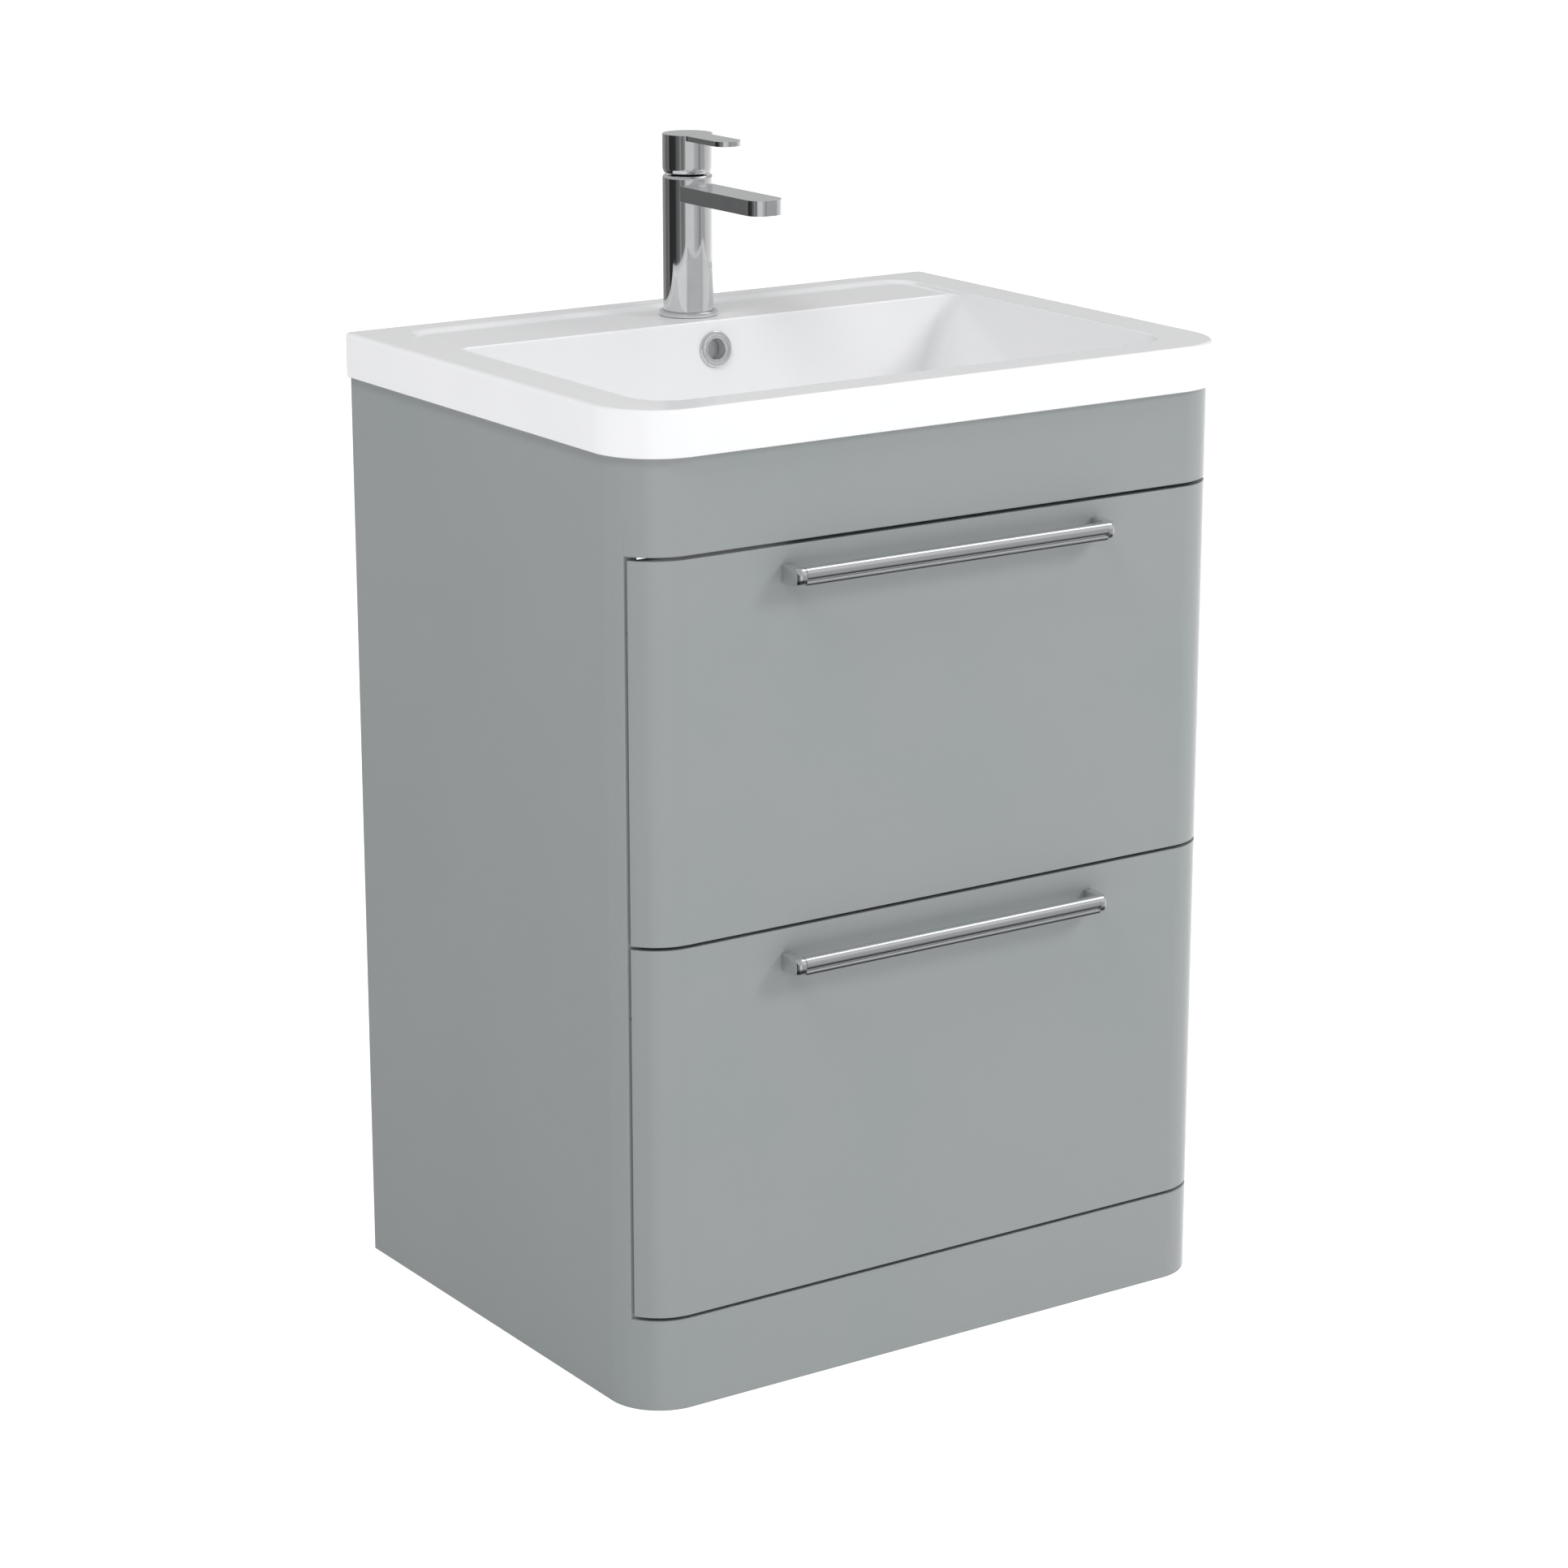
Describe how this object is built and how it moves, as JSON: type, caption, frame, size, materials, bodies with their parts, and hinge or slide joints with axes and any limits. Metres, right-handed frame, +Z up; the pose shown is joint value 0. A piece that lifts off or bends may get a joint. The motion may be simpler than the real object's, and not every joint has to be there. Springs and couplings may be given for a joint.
{
  "type": "bathroom vanity cabinet",
  "caption": "Floor-standing vanity with rounded front corners, stacked deep drawers with bar handles, an inset-bowl ceramic basin and a single-lever mixer tap.",
  "frame": {"origin": "under the middle of the overall box, on the floor", "axes": "+Z up, -Y to the front (the drawers open along -Y), +Y to the wall, +X to the right seen from the front"},
  "size_m": [0.611, 0.485, 1.0027],
  "materials": {
    "grey_lacquer": "smooth satin-gloss grey lacquer on board",
    "carcass_board": "matt melamine-faced board",
    "drawer_board": "matt melamine-faced board",
    "white_ceramic": "smooth white glaze",
    "chrome": "polished chrome plate",
    "brushed_bar": "bright brushed along its length",
    "zinc_steel": "bright zinc plate",
    "brass": "turned, uncoated",
    "white_plastic": "moulded, fine matt",
    "clear_rubber": "soft, slightly cloudy"
  },
  "bodies": {
    "cabinet": {"side_panel_left": "grey_lacquer", "side_panel_right": "grey_lacquer", "plinth": "grey_lacquer", "top_fascia": "grey_lacquer", "bottom_panel": "carcass_board", "back_panel": "carcass_board", "wall_bracket_left": "zinc_steel", "wall_bracket_right": "zinc_steel", "bumper_upper_left": "clear_rubber", "bumper_upper_right": "clear_rubber", "bumper_lower_left": "clear_rubber", "bumper_lower_right": "clear_rubber", "runner_upper_left_outer": "zinc_steel", "runner_upper_right_outer": "zinc_steel", "runner_lower_left_outer": "zinc_steel", "runner_lower_right_outer": "zinc_steel", "basin": "white_ceramic", "overflow_ring": "chrome", "waste_body": "chrome", "waste_backnut": "brass", "tap_body": "chrome", "tap_base_ring": "chrome", "tap_aerator": "white_plastic", "tap_cartridge": "chrome", "tap_fixing_nut": "brass"},
    "drawer_upper": {"drawer_upper_front": "grey_lacquer", "drawer_upper_box_front": "drawer_board", "drawer_upper_side_left": "drawer_board", "drawer_upper_side_right": "drawer_board", "drawer_upper_floor": "drawer_board", "drawer_upper_trap_guard": "white_plastic", "drawer_upper_back_left": "drawer_board", "drawer_upper_back_right": "drawer_board", "handle_upper_bar": "brushed_bar", "handle_upper_bracket_left": "chrome", "handle_upper_bracket_right": "chrome", "handle_upper_screw_left": "zinc_steel", "handle_upper_screw_right": "zinc_steel", "runner_upper_left_inner": "zinc_steel", "runner_upper_right_inner": "zinc_steel"},
    "drawer_lower": {"drawer_lower_front": "grey_lacquer", "drawer_lower_box_front": "drawer_board", "drawer_lower_side_left": "drawer_board", "drawer_lower_side_right": "drawer_board", "drawer_lower_floor": "drawer_board", "drawer_lower_back": "drawer_board", "handle_lower_bar": "brushed_bar", "handle_lower_bracket_left": "chrome", "handle_lower_bracket_right": "chrome", "handle_lower_screw_left": "zinc_steel", "handle_lower_screw_right": "zinc_steel", "runner_lower_left_inner": "zinc_steel", "runner_lower_right_inner": "zinc_steel"},
    "runner_middle_upper_left": {"runner_upper_left_middle": "zinc_steel"},
    "runner_middle_upper_right": {"runner_upper_right_middle": "zinc_steel"},
    "runner_middle_lower_left": {"runner_lower_left_middle": "zinc_steel"},
    "runner_middle_lower_right": {"runner_lower_right_middle": "zinc_steel"},
    "plug": {"waste_plug": "chrome"},
    "tap_swivel": {"tap_stem": "chrome"},
    "tap_handle": {"tap_lever": "chrome"}
  },
  "joints": [
    {"name": "drawer_upper_slide", "type": "slide", "parent": "cabinet", "child": "drawer_upper", "axis": [0, -1, 0], "range_m": [0, 0.34]},
    {"name": "drawer_lower_slide", "type": "slide", "parent": "cabinet", "child": "drawer_lower", "axis": [0, -1, 0], "range_m": [0, 0.34]},
    {"name": "runner_upper_left_slide", "type": "slide", "parent": "cabinet", "child": "runner_middle_upper_left", "axis": [0, -1, 0], "range_m": [0, 0.17]},
    {"name": "runner_upper_right_slide", "type": "slide", "parent": "cabinet", "child": "runner_middle_upper_right", "axis": [0, -1, 0], "range_m": [0, 0.17]},
    {"name": "runner_lower_left_slide", "type": "slide", "parent": "cabinet", "child": "runner_middle_lower_left", "axis": [0, -1, 0], "range_m": [0, 0.17]},
    {"name": "runner_lower_right_slide", "type": "slide", "parent": "cabinet", "child": "runner_middle_lower_right", "axis": [0, -1, 0], "range_m": [0, 0.17]},
    {"name": "waste_plug_press", "type": "slide", "parent": "cabinet", "child": "plug", "axis": [0, 0, -1], "range_m": [0, 0.007], "stiffness_N_per_m": 1200, "springref_m": -0.004},
    {"name": "tap_swivel_turn", "type": "hinge", "parent": "cabinet", "child": "tap_swivel", "pos_m": [0, 0.1685, 0.96], "axis": [0, 0, 1], "range_deg": [-45, 45]},
    {"name": "tap_lever_lift", "type": "hinge", "parent": "tap_swivel", "child": "tap_handle", "pos_m": [0, 0.1825, 0.988], "axis": [-1, 0, 0], "range_deg": [0, 18]}
  ],
  "couplings": [
    {"joint": "runner_upper_left_slide", "follows": "drawer_upper_slide", "ratio": 0.5},
    {"joint": "runner_upper_right_slide", "follows": "drawer_upper_slide", "ratio": 0.5},
    {"joint": "runner_lower_left_slide", "follows": "drawer_lower_slide", "ratio": 0.5},
    {"joint": "runner_lower_right_slide", "follows": "drawer_lower_slide", "ratio": 0.5}
  ]
}
